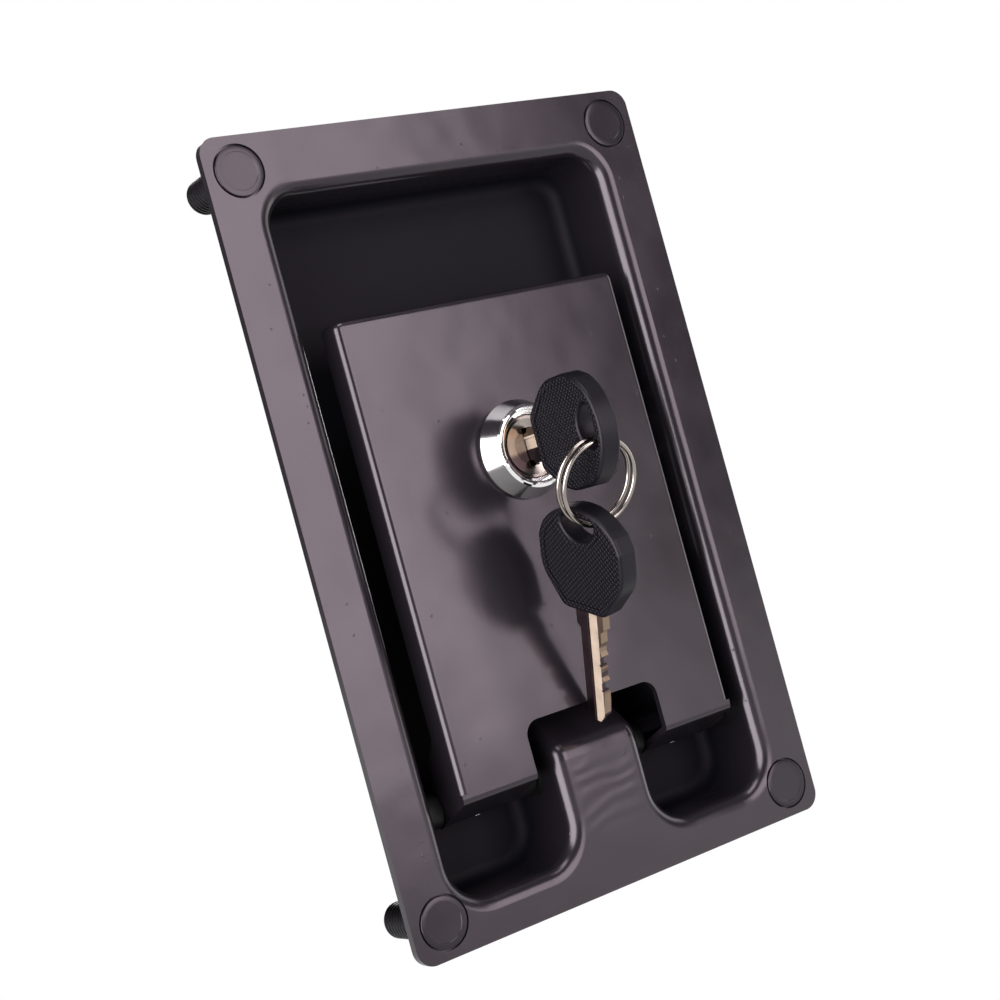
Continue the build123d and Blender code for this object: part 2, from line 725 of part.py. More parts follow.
def shaft_clips():
    """Snap rings in the shaft's end grooves, open at the back."""
    solids = []
    for side in (-1, 1):
        x0, x1 = clip_span(side)
        bore = along_x(shaft_r - clip_groove, x0 - 1, x1 + 1, pivot_y, pivot_z)
        mouth = block(x0 - 1, x1 + 1, pivot_y, beyond, pivot_z - clip_mouth_half, pivot_z + clip_mouth_half)
        solids.append(along_x(clip_r, x0, x1, pivot_y, pivot_z) - bore - mouth)
    return Compound(children=solids)


def pivot_spacers():
    """Sleeves on the shaft that keep the legs midway between the bushes."""
    spans = [(paddle_half_width + side_gap, well_half_width - bush_flange_thickness - side_gap),
             (tongue_half_width + bush_flange_thickness + side_gap, notch_half_width - side_gap)]
    solids = []
    for side in (-1, 1):
        for near, far in spans:
            x0, x1 = sorted((side * near, side * far))
            bore = along_x(shaft_r + running_clearance, x0 - 1, x1 + 1, pivot_y, pivot_z)
            solids.append(along_x(spacer_r, x0, x1, pivot_y, pivot_z) - bore)
    return Compound(children=solids)


def drive_pins():
    """Cross pins through the knuckles and the hub."""
    lengths = [2 * knuckle_r, 2 * knuckle_r, 2 * (shaft_r + arm_hub_wall)]
    return Compound(children=[Pos(x, pivot_y, pivot_z) * Cylinder(drive_pin_r, length)
                              for x, length in zip(drive_pin_places(), lengths)])


def release_arm():
    """Forked arm on the shaft; its slot embraces the pin in the bolt."""
    hub_r = shaft_r + arm_hub_wall
    slot_half = bolt_pin_r + fork_clearance
    tip = arm_reach / math.cos(math.radians(half_travel)) + arm_past_pin
    half = slot_half + fork_prong
    web = arm_reach * arm_web_share
    outline = [(0, -hub_r), (web, -half), (tip, -half), (tip, half), (web, half), (0, hub_r)]
    arm = side_profile(outline, -arm_half_width, arm_half_width)
    slot = block(-beyond, beyond, arm_reach - arm_slot_root, beyond, -slot_half, slot_half)
    ends = [e for e in arm.edges().filter_by(Axis.X) if e.center().Y > tip - 0.01]
    arm = fillet(ends, arm_end_r)
    arm = arm + along_x(hub_r, -arm_half_width, arm_half_width, 0, 0) - slot
    arm = arm - along_x(shaft_r, -beyond, beyond, 0, 0)
    arm = Pos(0, pivot_y, pivot_z) * (Rot(-half_travel, 0, 0) * arm)
    return arm - Pos(0, pivot_y, pivot_z) * Cylinder(drive_pin_r, beyond)


def lock_barrel():
    """Lock body: conical bezel in front of the paddle, flatted barrel behind it."""
    bore = plug_r + running_clearance
    head_bore = plug_head_r + running_clearance
    head_back = plug_front_y + plug_head_length + slide_gap
    nose = [(bezel_front_r + wide, bezel_front_y + deep) for wide, deep in bezel_nose]
    foot_y = paddle_face_y
    points = [(bezel_base_r - bezel_foot_edge, foot_y), (bezel_base_r, foot_y - bezel_foot_edge),
              (bezel_base_r, foot_y - bezel_foot)] + nose
    points += [(nose[-1][0], plug_front_y), (head_bore, plug_front_y), (head_bore, head_back),
               (bore, head_back), (bore, barrel_back_y), (barrel_r - barrel_end_chamfer, barrel_back_y),
               (barrel_r, barrel_back_y - barrel_end_chamfer), (barrel_r, foot_y)]
    lock = turned(points, lock_z)
    for side in (-1, 1):
        x0, x1 = sorted((side * barrel_flat, side * beyond))
        lock = lock - block(x0, x1, paddle_face_y, barrel_back_y + 1, -beyond, beyond)
    return lock


def lock_washer():
    """Toothed washer under the nut."""
    y0 = paddle_back_y
    y1 = y0 + lock_washer_thickness
    bore = along_y(barrel_r + running_clearance, y0 - 1, y1 + 1, 0, lock_z)
    washer = along_y(washer_tooth_r, y0, y1, 0, lock_z) - bore
    notch = Pos(washer_tooth_r, 0, 0) * Box(2 * lock_washer_notch_depth, 2, lock_washer_notch_width)
    for i in range(lock_washer_teeth):
        turn = Rot(0, 360 * i / lock_washer_teeth, 0)
        washer = washer - Pos(0, (y0 + y1) / 2, lock_z) * (turn * notch)
    return washer


def lock_nut():
    """Hexagonal nut on the barrel, chamfered on its back."""
    y0 = paddle_back_y + lock_washer_thickness
    y1 = y0 + nut_thickness
    corner = nut_af / math.sqrt(3)
    plane = Plane(origin=(0, y0, lock_z), x_dir=(1, 0, 0), z_dir=(0, 1, 0))
    nut = extrude(plane * RegularPolygon(corner, 6), nut_thickness)
    rounded = turned([(0, y0), (corner, y0), (corner, y1 - nut_chamfer), (nut_af / 2, y1), (0, y1)], lock_z)
    return (nut & rounded) - along_y(barrel_r + running_clearance, y0 - 1, y1 + 1, 0, lock_z)


def lock_plug():
    """Turning plug: dished head, keyway, slots for the wafers and a square tail."""
    y0 = plug_front_y
    tail_back = cam_back_y
    head_back = y0 + plug_head_length
    points = [(0, y0 + plug_dish_depth), (plug_dish_mid_r, y0 + plug_dish_mid_depth),
              (plug_head_r - plug_rim, y0), (plug_head_r - plug_rim_edge, y0),
              (plug_head_r, y0 + plug_rim_edge), (plug_head_r, head_back), (plug_r, head_back),
              (plug_r, barrel_back_y), (0, barrel_back_y)]
    plug = turned(points, lock_z)
    tail = block(-tail_half, tail_half, barrel_back_y, tail_back, lock_z - tail_half, lock_z + tail_half)
    plug = plug + tail
    blade_end = key_tip_y() + slide_gap
    keyway = block(-keyway_half_width, keyway_half_width, y0 - 1, blade_end, lock_z - keyway_half_height,
                   lock_z + keyway_half_height)
    plug = plug - keyway
    for y in wafer_places():
        wide = wafer_half_width + wafer_clearance
        high = wafer_half_height + wafer_clearance
        plug = plug - block(-wide, wide, y - wafer_clearance, y + wafer_thickness + wafer_clearance,
                            lock_z - high, lock_z + high)
    return plug - along_y(cam_screw_r, tail_back - cam_screw_depth, tail_back + 1, 0, lock_z)


def wafer_places():
    """Front face of each wafer along the plug."""
    first = plug_front_y + plug_head_length + plug_head_web
    return [first + i * wafer_pitch for i in range(wafer_count)]


def wafers():
    """Flat wafers with a window that the key blade passes through."""
    solids = []
    for y in wafer_places():
        body = block(-wafer_half_width, wafer_half_width, y, y + wafer_thickness, lock_z - wafer_half_height,
                     lock_z + wafer_half_height)
        wide = keyway_half_width + wafer_window_clearance
        high = keyway_half_height + wafer_window_clearance
        window = block(-wide, wide, y - 1, y + wafer_thickness + 1, lock_z - high, lock_z + high)
        solids.append(body - window)
    return Compound(children=solids)


def stop_washer():
    """Washer on the plug's square tail, with a tab that limits its turn."""
    y0, y1 = stop_washer_y, stop_washer_y + stop_washer_thickness
    washer = along_y(stop_washer_r, y0, y1, 0, lock_z)
    tab = block(-stop_tab_half_width, stop_tab_half_width, y0, y1, lock_z - stop_tab_reach, lock_z)
    hole = block(-tail_half, tail_half, y0 - 1, y1 + 1, lock_z - tail_half, lock_z + tail_half)
    return washer + tab - hole


def lock_cam():
    """Cam that swings behind the keeper when the key is turned."""
    plane = Plane(origin=(0, cam_y, lock_z), x_dir=(0, 0, 1), z_dir=(0, 1, 0))
    slot = SlotOverall(cam_length + cam_half_width, 2 * cam_half_width)
    cam = extrude(plane * (Pos((cam_length - cam_half_width) / 2, 0) * slot), cam_thickness)
    hole = block(-tail_half, tail_half, cam_y - 1, cam_back_y + 1, lock_z - tail_half, lock_z + tail_half)
    return cam - hole


def cam_spring_washer():
    """Split spring washer under the cam screw's head."""
    y0, y1 = cam_back_y, cam_back_y + spring_washer_thickness
    bore = along_y(cam_screw_r + spring_washer_clearance, y0 - 1, y1 + 1, 0, lock_z)
    split = block(-spring_washer_split / 2, spring_washer_split / 2, y0 - 1, y1 + 1, lock_z, beyond)
    return along_y(spring_washer_r, y0, y1, 0, lock_z) - bore - split


def cam_screw():
    """Pan-head screw that holds the cam on the plug, with a cross recess."""
    y0 = cam_back_y + spring_washer_thickness
    y1 = y0 + cam_screw_head_height
    end_y = cam_back_y - cam_screw_depth
    edge_y = y1 - cam_screw_edge
    points = [(0, end_y), (cam_screw_r, end_y), (cam_screw_r, y0), (cam_screw_head_r, y0),
              (cam_screw_head_r, edge_y), (cam_screw_head_r - cam_screw_edge, y1), (0, y1)]
    screw = turned(points, lock_z)
    for angle in (0, 90):
        recess = Pos(0, y1, lock_z) * (Rot(0, angle, 0) * Box(recess_length, 2 * recess_depth, recess_width))
        screw = screw - recess
    return screw


def key_tip_y():
    """Depth that the inserted key's tip reaches."""
    return bow_inner_y + blade_length


def key_bow():
    """Moulded bow: arched outer end, rounded corners, a D-shaped hole for the ring."""
    half_w = bow_width / 2
    half_l = bow_length / 2
    shoulder = bow_shoulder_width / 2
    rise = bow_arc_r - math.sqrt(bow_arc_r ** 2 - shoulder ** 2)
    arc_y = -half_l + rise
    side_y = arc_y + bow_side_start
    plane = Plane(origin=(0, 0, 0), x_dir=(0, 1, 0), z_dir=(1, 0, 0))
    corner_y = half_l - bow_corner_length
    corner_z = half_w - bow_corner_width
    with BuildPart() as part:
        with BuildSketch(plane) as outline:
            with BuildLine():
                Polyline((arc_y, shoulder), (side_y, half_w), (corner_y, half_w), (half_l, corner_z),
                         (half_l, -corner_z), (corner_y, -half_w), (side_y, -half_w), (arc_y, -shoulder))
                ThreePointArc((arc_y, -shoulder), (-half_l, 0), (arc_y, shoulder))
            make_face()
            fillet([v for v in outline.vertices() if abs(v.X - corner_y) < 0.01], bow_side_round_r)
            fillet([v for v in outline.vertices() if abs(v.X - half_l) < 0.01], bow_foot_round_r)
            fillet([v for v in outline.vertices() if v.X < side_y + 0.01], bow_shoulder_round_r)
        extrude(amount=bow_thickness / 2, both=True)
        rims = [e for e in part.edges() if e.bounding_box().max.X - e.bounding_box().min.X < 0.01]
        fillet(rims, bow_edge_r)
    bow = part.part
    slot_y = slot_middle()
    outer_y = slot_y - bow_slot_length / 2
    half_slot = bow_slot_width / 2
    straight = bow_slot_straight
    with BuildSketch(plane) as hole:
        with BuildLine():
            Polyline((outer_y + straight, half_slot), (outer_y, half_slot), (outer_y, -half_slot),
                     (outer_y + straight, -half_slot))
            ThreePointArc((outer_y + straight, -half_slot), (outer_y + bow_slot_length, 0),
                          (outer_y + straight, half_slot))
        make_face()
        fillet([v for v in hole.vertices() if abs(v.X - outer_y) < 0.01], bow_slot_corner_r)
    bow = bow - Pos(-bow_thickness, 0, 0) * extrude(hole.sketch, 2 * bow_thickness, dir=(1, 0, 0))
    bow = fillet([e for e in bow.edges() if is_slot_rim(e, slot_y)], bow_slot_rim_r)
    rim = offset(outline.sketch, -bow_border, kind=Kind.INTERSECTION)
    panel = rim - offset(hole.sketch, bow_slot_border, kind=Kind.ARC)
    for side in (-1, 1):
        deep = Pos(side * (bow_thickness / 2 - bow_panel_depth), 0, 0)
        bow = bow - deep * extrude(panel, bow_thickness, dir=(side, 0, 0))
    pocket = block(-blade_thickness / 2 - key_in_bow_clearance, blade_thickness / 2 + key_in_bow_clearance,
                   half_l - blade_embed - key_in_bow_clearance, half_l + 1,
                   -blade_width / 2 - key_in_bow_clearance, blade_width / 2 + key_in_bow_clearance)
    return bow - pocket


def slot_middle():
    """Middle of the ring hole, from the bow's middle."""
    return -bow_length / 2 + bow_slot_inset + bow_slot_length / 2


def is_slot_rim(edge, slot_y):
    """True for the edges of the ring hole on both faces of the bow."""
    box = edge.bounding_box()
    on_face = box.max.X - box.min.X < 0.01 and abs(abs(box.max.X) - bow_thickness / 2) < 0.01
    in_y = box.min.Y > slot_y - bow_slot_length / 2 - 0.01 and box.max.Y < slot_y + bow_slot_length / 2 + 0.01
    return on_face and in_y and max(box.max.Z, -box.min.Z) < bow_slot_width / 2 + 0.01


def key_blade():
    """Flat blade with a milled groove, a row of cuts on one edge and a pointed tip."""
    half_l = bow_length / 2
    half_w = blade_width / 2
    low = -half_w + shoulder_step
    high = half_w - shoulder_step
    y_shoulder = half_l + shoulder_length
    tip = half_l + blade_length
    points = [(half_l - blade_embed, -half_w), (y_shoulder, -half_w), (y_shoulder + shoulder_ramp, low),
              (tip - blade_tip_slope, low), (tip, -blade_tip_half), (tip, blade_tip_half)]
    first_cut = half_l + wafer_places()[0] + wafer_thickness / 2 - bow_inner_y
    cuts = []
    last_cut = tip - blade_tip_slope - cut_flat
    depths = [depth for i, depth in enumerate(cut_depths) if first_cut + i * wafer_pitch < last_cut]
    for i, depth in enumerate(depths):
        middle = first_cut + i * wafer_pitch
        cuts += [(middle - cut_flat / 2, high - depth), (middle + cut_flat / 2, high - depth)]
        if i < len(depths) - 1:
            cuts.append((middle + wafer_pitch / 2, high - cut_peak_drop * depth))
    points += [(tip - blade_tip_slope, high - 2 * blade_tip_half)] + cuts[::-1]
    points += [(first_cut - cut_lead, high), (y_shoulder + shoulder_ramp, high), (y_shoulder, half_w),
               (half_l - blade_embed, half_w)]
    blade = side_profile(points, -blade_thickness / 2, blade_thickness / 2)
    for side in (-1, 1):
        x0, x1 = sorted((side * (blade_thickness / 2 - groove_depth), side * blade_thickness))
        blade = blade - block(x0, x1, half_l + groove_start, tip + 1, groove_z - groove_width / 2,
                              groove_z + groove_width / 2)
    return blade


def key_1_place():
    """Key in the lock, its blade level and its bow standing upright."""
    return Pos(0, bow_outer_y + bow_length / 2, lock_z)


def ring_up():
    """Direction in the ring's plane from its lowest point to its highest."""
    tilt = math.radians(ring_tilt)
    return Vector(0, -math.sin(tilt), math.cos(tilt))


def key_ring_place():
    """Middle of the ring, which hangs in the first key's hole and leans in towards the paddle."""
    seat_y = bow_outer_y + bow_slot_inset + ring_seat_depth
    seat = Vector(0, seat_y, lock_z - bow_slot_width / 2 + ring_seat_height)
    return seat + Vector(ring_offset_x, 0, 0) - ring_up() * math.sqrt(ring_r ** 2 - ring_offset_x ** 2)


def key_ring():
    """Split ring: two turns of wire, spread by the keys, that cross over at one side."""
    start = ring_cross_from + ring_cross_angle
    total = 720 - ring_cross_angle
    count = int(total / ring_point_step)
    centre = key_ring_place()
    up = ring_up()
    across = Vector(1, 0, 0)
    normal = up.cross(across)
    points = []
    for i in range(count + 1):
        turn = total * i / count
        crossing = min(max((turn - 360 + ring_cross_angle) / ring_cross_angle, 0), 1)
        side = ring_turn_space * (crossing * crossing * (3 - 2 * crossing) - 0.5)
        angle = math.radians(start + turn)
        outward = across * math.sin(angle) + up * math.cos(angle)
        points.append(centre + outward * ring_r + normal * side)
    path = Spline(*points)
    wire = Plane(origin=path @ 0, z_dir=path % 0) * Circle(ring_wire_r)
    return sweep(wire, path=path)


def key_2_place():
    """Second key, hung by its hole from the lower part of the ring, its tip close to the paddle."""
    along = second_key_x - key_ring_place().X
    hang = key_ring_place() + Vector(along, 0, 0) - ring_up() * math.sqrt(ring_r ** 2 - along ** 2)
    down = Vector(math.tan(math.radians(second_key_side_tilt)), math.tan(math.radians(second_key_depth_tilt)),
                  -1).normalized()
    flat = (Vector(1, 0, 0) - down * down.X).normalized()
    side = down.cross(flat)
    twist = math.radians(second_key_twist)
    across = flat * math.cos(twist) - side * math.sin(twist)
    edge = across.cross(down)
    middle = hang - down * (slot_middle() - second_key_slack) - edge * second_key_shift
    return Location(Plane(origin=middle, x_dir=-across, z_dir=-edge))


def write_parts():
    """Build every sub-part and write it to its own STEP file."""
    os.makedirs("parts", exist_ok=True)
    bow = key_bow()
    blade = key_blade()
    nodes = {
        "dish_plate": dish_plate(),
        "mounting_studs": mounting_studs(),
        "pivot_bushes": pivot_bushes(),
        "bolt_guide": bolt_guide(),
        "guide_rivets": guide_rivets(),
        "bolt_spring": bolt_spring(),
        "latch_bolt": latch_bolt(),
        "bolt_pin": bolt_pin(),
        "cam_keeper": cam_keeper(),
        "keeper_rivets": keeper_rivets(),
        "paddle_plate": paddle_plate(),
        "pivot_shaft": pivot_shaft(),
        "shaft_clips": shaft_clips(),
        "pivot_spacers": pivot_spacers(),
        "drive_pins": drive_pins(),
        "release_arm": release_arm(),
        "lock_barrel": lock_barrel(),
        "lock_washer": lock_washer(),
        "lock_nut": lock_nut(),
        "lock_plug": lock_plug(),
        "wafers": wafers(),
        "stop_washer": stop_washer(),
        "lock_cam": lock_cam(),
        "cam_spring_washer": cam_spring_washer(),
        "cam_screw": cam_screw(),
        "key_1_bow": key_1_place() * bow,
        "key_1_blade": key_1_place() * blade,
        "key_ring": key_ring(),
        "key_2_bow": key_2_place() * bow,
        "key_2_blade": key_2_place() * blade,
    }
    for name, shape in nodes.items():
        export_step(shape, f"parts/{name}.step")


write_parts()
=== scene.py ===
import json
import math

import bpy
from mathutils import Euler, Matrix, Vector


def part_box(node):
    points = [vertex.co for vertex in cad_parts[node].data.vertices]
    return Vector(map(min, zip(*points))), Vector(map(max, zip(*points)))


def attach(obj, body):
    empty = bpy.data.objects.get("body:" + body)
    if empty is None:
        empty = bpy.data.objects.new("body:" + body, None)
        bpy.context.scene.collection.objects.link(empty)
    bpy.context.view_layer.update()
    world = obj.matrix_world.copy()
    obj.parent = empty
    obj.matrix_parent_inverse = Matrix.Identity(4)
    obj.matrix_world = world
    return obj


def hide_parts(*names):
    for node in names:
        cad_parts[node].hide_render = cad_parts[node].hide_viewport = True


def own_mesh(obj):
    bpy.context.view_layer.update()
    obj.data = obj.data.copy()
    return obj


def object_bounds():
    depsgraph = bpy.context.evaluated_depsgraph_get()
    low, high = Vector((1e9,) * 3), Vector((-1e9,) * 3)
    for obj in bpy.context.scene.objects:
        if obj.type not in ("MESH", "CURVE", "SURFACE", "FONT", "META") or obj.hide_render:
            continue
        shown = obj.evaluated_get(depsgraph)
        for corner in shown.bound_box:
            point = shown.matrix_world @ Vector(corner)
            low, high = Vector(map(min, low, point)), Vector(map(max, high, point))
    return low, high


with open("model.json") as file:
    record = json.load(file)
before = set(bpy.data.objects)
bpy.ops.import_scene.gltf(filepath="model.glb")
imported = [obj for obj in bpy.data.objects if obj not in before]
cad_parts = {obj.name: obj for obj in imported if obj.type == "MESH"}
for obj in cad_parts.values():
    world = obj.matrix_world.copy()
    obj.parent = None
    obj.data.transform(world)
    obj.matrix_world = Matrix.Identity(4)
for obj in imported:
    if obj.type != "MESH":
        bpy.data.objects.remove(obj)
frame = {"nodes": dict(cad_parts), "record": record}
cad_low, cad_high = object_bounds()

# Flush paddle latch with a key lock. Metres, in the CAD model's frame:
# X across the plate, Z up its long side, -Y out towards the hand.

MM = 0.001
record = frame["record"]
stud_mount = next(mount for mount in record["mounts"] if mount["name"] == "studs")

# ---- places read from the frame -----------------------------------------------------
stud_low, stud_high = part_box("mounting_studs")
stud_r = stud_mount["dims"]["stud_r_mm"] * MM
stud_x = stud_mount["dims"]["spacing_x_mm"] * MM / 2
stud_z = stud_mount["dims"]["spacing_y_mm"] * MM / 2
stud_places = [(x, z) for x in (-stud_x, stud_x) for z in (-stud_z, stud_z)]
head_r = stud_high.x - stud_x
spring_low, spring_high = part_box("bolt_spring")
flange_back_y = stud_mount["pos_m"][1]

# ---- sizes of finishes and added pieces, in metres unless a comment says otherwise ----
orange_peel = 1.3 * MM
press_wave = 14 * MM
dust_speck = 4.5 * MM
# depths behind the plate over which the painted shade deep in the dish fades in
shade_from_y = 8 * MM
shade_full_y = 16 * MM
outer_reach_start = 20 * MM
outer_reach_full = 36 * MM
tongue_ridge = 3.6 * MM
knurl_pitch = 0.85 * MM
thread_pitch = 1.25 * MM
thread_depth = 0.7 * MM
head_height = 1.1 * MM
head_rim = 0.2 * MM
head_step = 1.1 * MM
head_step_width = 0.1 * MM
head_step_depth = 0.08 * MM
stud_end_chamfer = 0.8 * MM
spring_wire_width = 0.7 * MM
spring_turns = 9
# heights between which the tongue's ridges show: none, full, full, none
ridge_band_z = (-78 * MM, -70 * MM, -62 * MM, -58 * MM)
ridge_full_x = 6 * MM
ridge_none_x = 10 * MM
# a wave texture repeats once in this length divided by its scale
wave_length = 0.314
# how squarely a face looks along an axis, 1 being fully: along a key's thickness, for its knurled panel
# and its blade's flat; along Y, for a stud head's front and for the start and full extent of the dish's back
panel_facing = 0.97
blade_facing = 0.6
front_facing = -0.99
back_facing_start = 0.05
back_facing_full = 0.4
# thread tooth: its height as a share of the thread's depth, its foot and crest as shares of the pitch and
# of the foot, and how far it sinks into the core as a share of the depth
tooth_height_share = 1.1
tooth_foot_share = 0.9
tooth_crest_share = 0.3
tooth_sink_share = 0.05
# counts of sides, segments and steps, and the steepest edge that is shaded smooth, in degrees
rod_sides = 64
rim_segments = 3
thread_steps = 36
coil_steps = 32
wire_sides = 14
smooth_edge_degrees = 32
# studio floor
floor_width = 12
floor_drop = 0.30
# share of a key blade's width where its milled band starts and ends
milled_from = 0.42
milled_to = 0.78
# second key's lean as it hangs, in degrees
second_key_depth_tilt = 23.0
second_key_side_tilt = 4.4
second_key_twist = 6.7


# ---- node helper and colours --------------------------------------------------------
def linear(hex_colour):
    """sRGB hex string to linear RGBA."""
    channels = [int(hex_colour[i:i + 2], 16) / 255 for i in (1, 3, 5)]
    return tuple(c / 12.92 if c <= 0.04045 else ((c + 0.055) / 1.055) ** 2.4 for c in channels) + (1.0,)


def node(tree, kind, settings=None, **links):
    """Adds a node, sets its properties, and sets or links its inputs by name or as i0, i1 and so on."""
    made = tree.nodes.new(kind)
    for key, value in (settings or {}).items():
        setattr(made, key, value)
    for key, value in links.items():
        numbered = key[0] == "i" and key[1:].isdigit()
        socket = made.inputs[int(key[1:])] if numbered else made.inputs[key.replace("_", " ")]
        if isinstance(value, bpy.types.NodeSocket):
            tree.links.new(value, socket)
        else:
            socket.default_value = value
    return made


def calculate(tree, operation, first, second=None):
    """Math node on one or two values or sockets; returns its result."""
    links = {"i0": first} if second is None else {"i0": first, "i1": second}
    return node(tree, "ShaderNodeMath", {"operation": operation}, **links).outputs[0]


def soft_ramp(tree, value, start, end, **to_range):
    """Smooth step from 0 at start to 1 at end, or between the given To_Min and To_Max; returns its result."""
    return node(tree, "ShaderNodeMapRange", {"interpolation_type": "SMOOTHSTEP"}, Value=value, From_Min=start,
                From_Max=end, **to_range).outputs[0]


def blend(tree, share, first, second):
    """Mixes two colours by a share; returns its result."""
    return node(tree, "ShaderNodeMix", {"data_type": "RGBA"}, i0=share, i6=first, i7=second).outputs[2]


def sideways(tree, turn, least):
    """1 where a face looks along the key's thickness more squarely than least, else 0."""
    normal = node(tree, "ShaderNodeVectorMath", {"operation": "DOT_PRODUCT"},
                  i0=node(tree, "ShaderNodeTexCoord").outputs["Normal"], i1=tuple(turn @ Vector((1, 0, 0))))
    return calculate(tree, "GREATER_THAN", calculate(tree, "ABSOLUTE", normal.outputs["Value"]), least)


def new_material(name):
    """Empty node material; returns it, its node tree, its output node and its Object coordinates."""
    material = bpy.data.materials.new(name)
    material.use_nodes = True
    tree = material.node_tree
    tree.nodes.clear()
    output = node(tree, "ShaderNodeOutputMaterial")
    place = node(tree, "ShaderNodeTexCoord").outputs["Object"]
    return material, tree, output, place


# ---- finishes -----------------------------------------------------------------------
def powder_coated_steel(name, face_shine):
    """Satin black powder coat on pressed steel: fine orange peel, a slow wave left by the press, a glossy
    face that picks up the studio, and deep in the dish a rougher coat with painted shade: a darker colour and
    a weaker reflection."""
    material, tree, output, place = new_material(name)
    axes = node(tree, "ShaderNodeSeparateXYZ", i0=place)
    normal = node(tree, "ShaderNodeSeparateXYZ", i0=node(tree, "ShaderNodeTexCoord").outputs["Normal"])
    sunk = soft_ramp(tree, axes.outputs[1], shade_from_y, shade_full_y)
    # outer walls face away from the middle and the back faces +Y; both lie outside the dish and get none of
    # the painted shade
    back = soft_ramp(tree, normal.outputs[1], back_facing_start, back_facing_full)
    walls = [soft_ramp(tree, calculate(tree, "MULTIPLY", normal.outputs[axis], axes.outputs[axis]),
                       outer_reach_start, outer_reach_full) for axis in (0, 2)]
    outside_dish = calculate(tree, "MAXIMUM", calculate(tree, "MAXIMUM", walls[0], walls[1]), back)
    # painted shade: how far a face lies in the dish's recesses, with the outside of the dish left out
    depth = calculate(tree, "MULTIPLY", sunk, calculate(tree, "SUBTRACT", 1.0, outside_dish))
    patches = node(tree, "ShaderNodeTexNoise", Vector=place, Scale=1 / (22 * MM), Detail=3.0, Roughness=0.55)
    gloss = node(tree, "ShaderNodeMapRange", Value=patches.outputs[0], From_Min=0.3, From_Max=0.7,
                 To_Min=0.2, To_Max=0.26)
    rough = node(tree, "ShaderNodeMix", {"data_type": "FLOAT"}, i0=depth, i2=gloss.outputs[0], i3=0.62)
    # painted shade deep in the dish: a darker colour and a weaker reflection
    tint = blend(tree, depth, linear("#141115"), linear("#0a0a10"))
    shine = node(tree, "ShaderNodeMapRange", Value=depth, To_Min=face_shine, To_Max=0.13)
    peel = node(tree, "ShaderNodeTexNoise", Vector=place, Scale=1 / orange_peel, Detail=2.0)
    wave = node(tree, "ShaderNodeTexNoise", Vector=place, Scale=1 / press_wave, Detail=1.0)
    specks = node(tree, "ShaderNodeTexVoronoi", {"feature": "F1"}, Vector=place, Scale=1 / dust_speck)
    speck = node(tree, "ShaderNodeMapRange", Value=specks.outputs["Distance"], From_Min=0.02, From_Max=0.07,
                 To_Min=1.0, To_Max=0.0)
    # ridges that the press left on the tongue below the notch
    low_start, low_full, high_full, high_end = ridge_band_z
    near_middle = soft_ramp(tree, calculate(tree, "ABSOLUTE", axes.outputs[0]), ridge_full_x, ridge_none_x,
                            To_Min=1.0, To_Max=0.0)
    low_enough = soft_ramp(tree, axes.outputs[2], low_start, low_full)
    high_enough = soft_ramp(tree, axes.outputs[2], high_full, high_end, To_Min=1.0, To_Max=0.0)
    stretch = node(tree, "ShaderNodeMapping", Vector=place, Rotation=(0, math.radians(4), 0))
    ridges = node(tree, "ShaderNodeTexWave", {"bands_direction": "Z"}, Vector=stretch.outputs[0],
                  Scale=wave_length / tongue_ridge, Distortion=6.0, Detail=1.0, Detail_Scale=1.0)
    on_tongue = calculate(tree, "MULTIPLY", calculate(tree, "MULTIPLY", near_middle, low_enough), high_enough)
    marked = calculate(tree, "MULTIPLY", ridges.outputs[1], on_tongue)
    wave_bump = node(tree, "ShaderNodeBump", Strength=0.5, Distance=0.35 * MM, Height=wave.outputs[0])
    ridge_bump = node(tree, "ShaderNodeBump", Strength=0.09, Distance=0.4 * MM, Height=marked,
                      Normal=wave_bump.outputs[0])
    peel_bump = node(tree, "ShaderNodeBump", Strength=0.25, Distance=0.025 * MM, Height=peel.outputs[0],
                     Normal=ridge_bump.outputs[0])
    speck_bump = node(tree, "ShaderNodeBump", Strength=0.5, Distance=0.08 * MM, Height=speck.outputs[0],
                      Normal=peel_bump.outputs[0])
    shader = node(tree, "ShaderNodeBsdfPrincipled", Base_Color=tint, Roughness=rough.outputs[0],
                  Specular_IOR_Level=shine.outputs[0], Specular_Tint=linear("#fcedf8"),
                  Normal=speck_bump.outputs[0])
    tree.links.new(shader.outputs[0], output.inputs[0])
    return material


def worn_metal(name, base, dark, roughness, grain, spread=0.08, bump=0.02):
    """Plated or bare metal: a slow change of tone, fine grain in its roughness and a faint bump."""
    material, tree, output, place = new_material(name)
    slow = node(tree, "ShaderNodeTexNoise", Vector=place, Scale=1 / (grain * 9), Detail=2.0)
    fine = node(tree, "ShaderNodeTexNoise", Vector=place, Scale=1 / grain, Detail=3.0)
    tone = blend(tree, slow.outputs[0], linear(dark), linear(base))
    rough = node(tree, "ShaderNodeMapRange", Value=fine.outputs[0], To_Min=max(roughness - spread, 0.02),
                 To_Max=roughness + spread)
    lift = node(tree, "ShaderNodeBump", Strength=0.3, Distance=bump * MM, Height=fine.outputs[0])
    shader = node(tree, "ShaderNodeBsdfPrincipled", Base_Color=tone, Roughness=rough.outputs[0],
                  Metallic=1.0, Normal=lift.outputs[0])
    tree.links.new(shader.outputs[0], output.inputs[0])
    return material


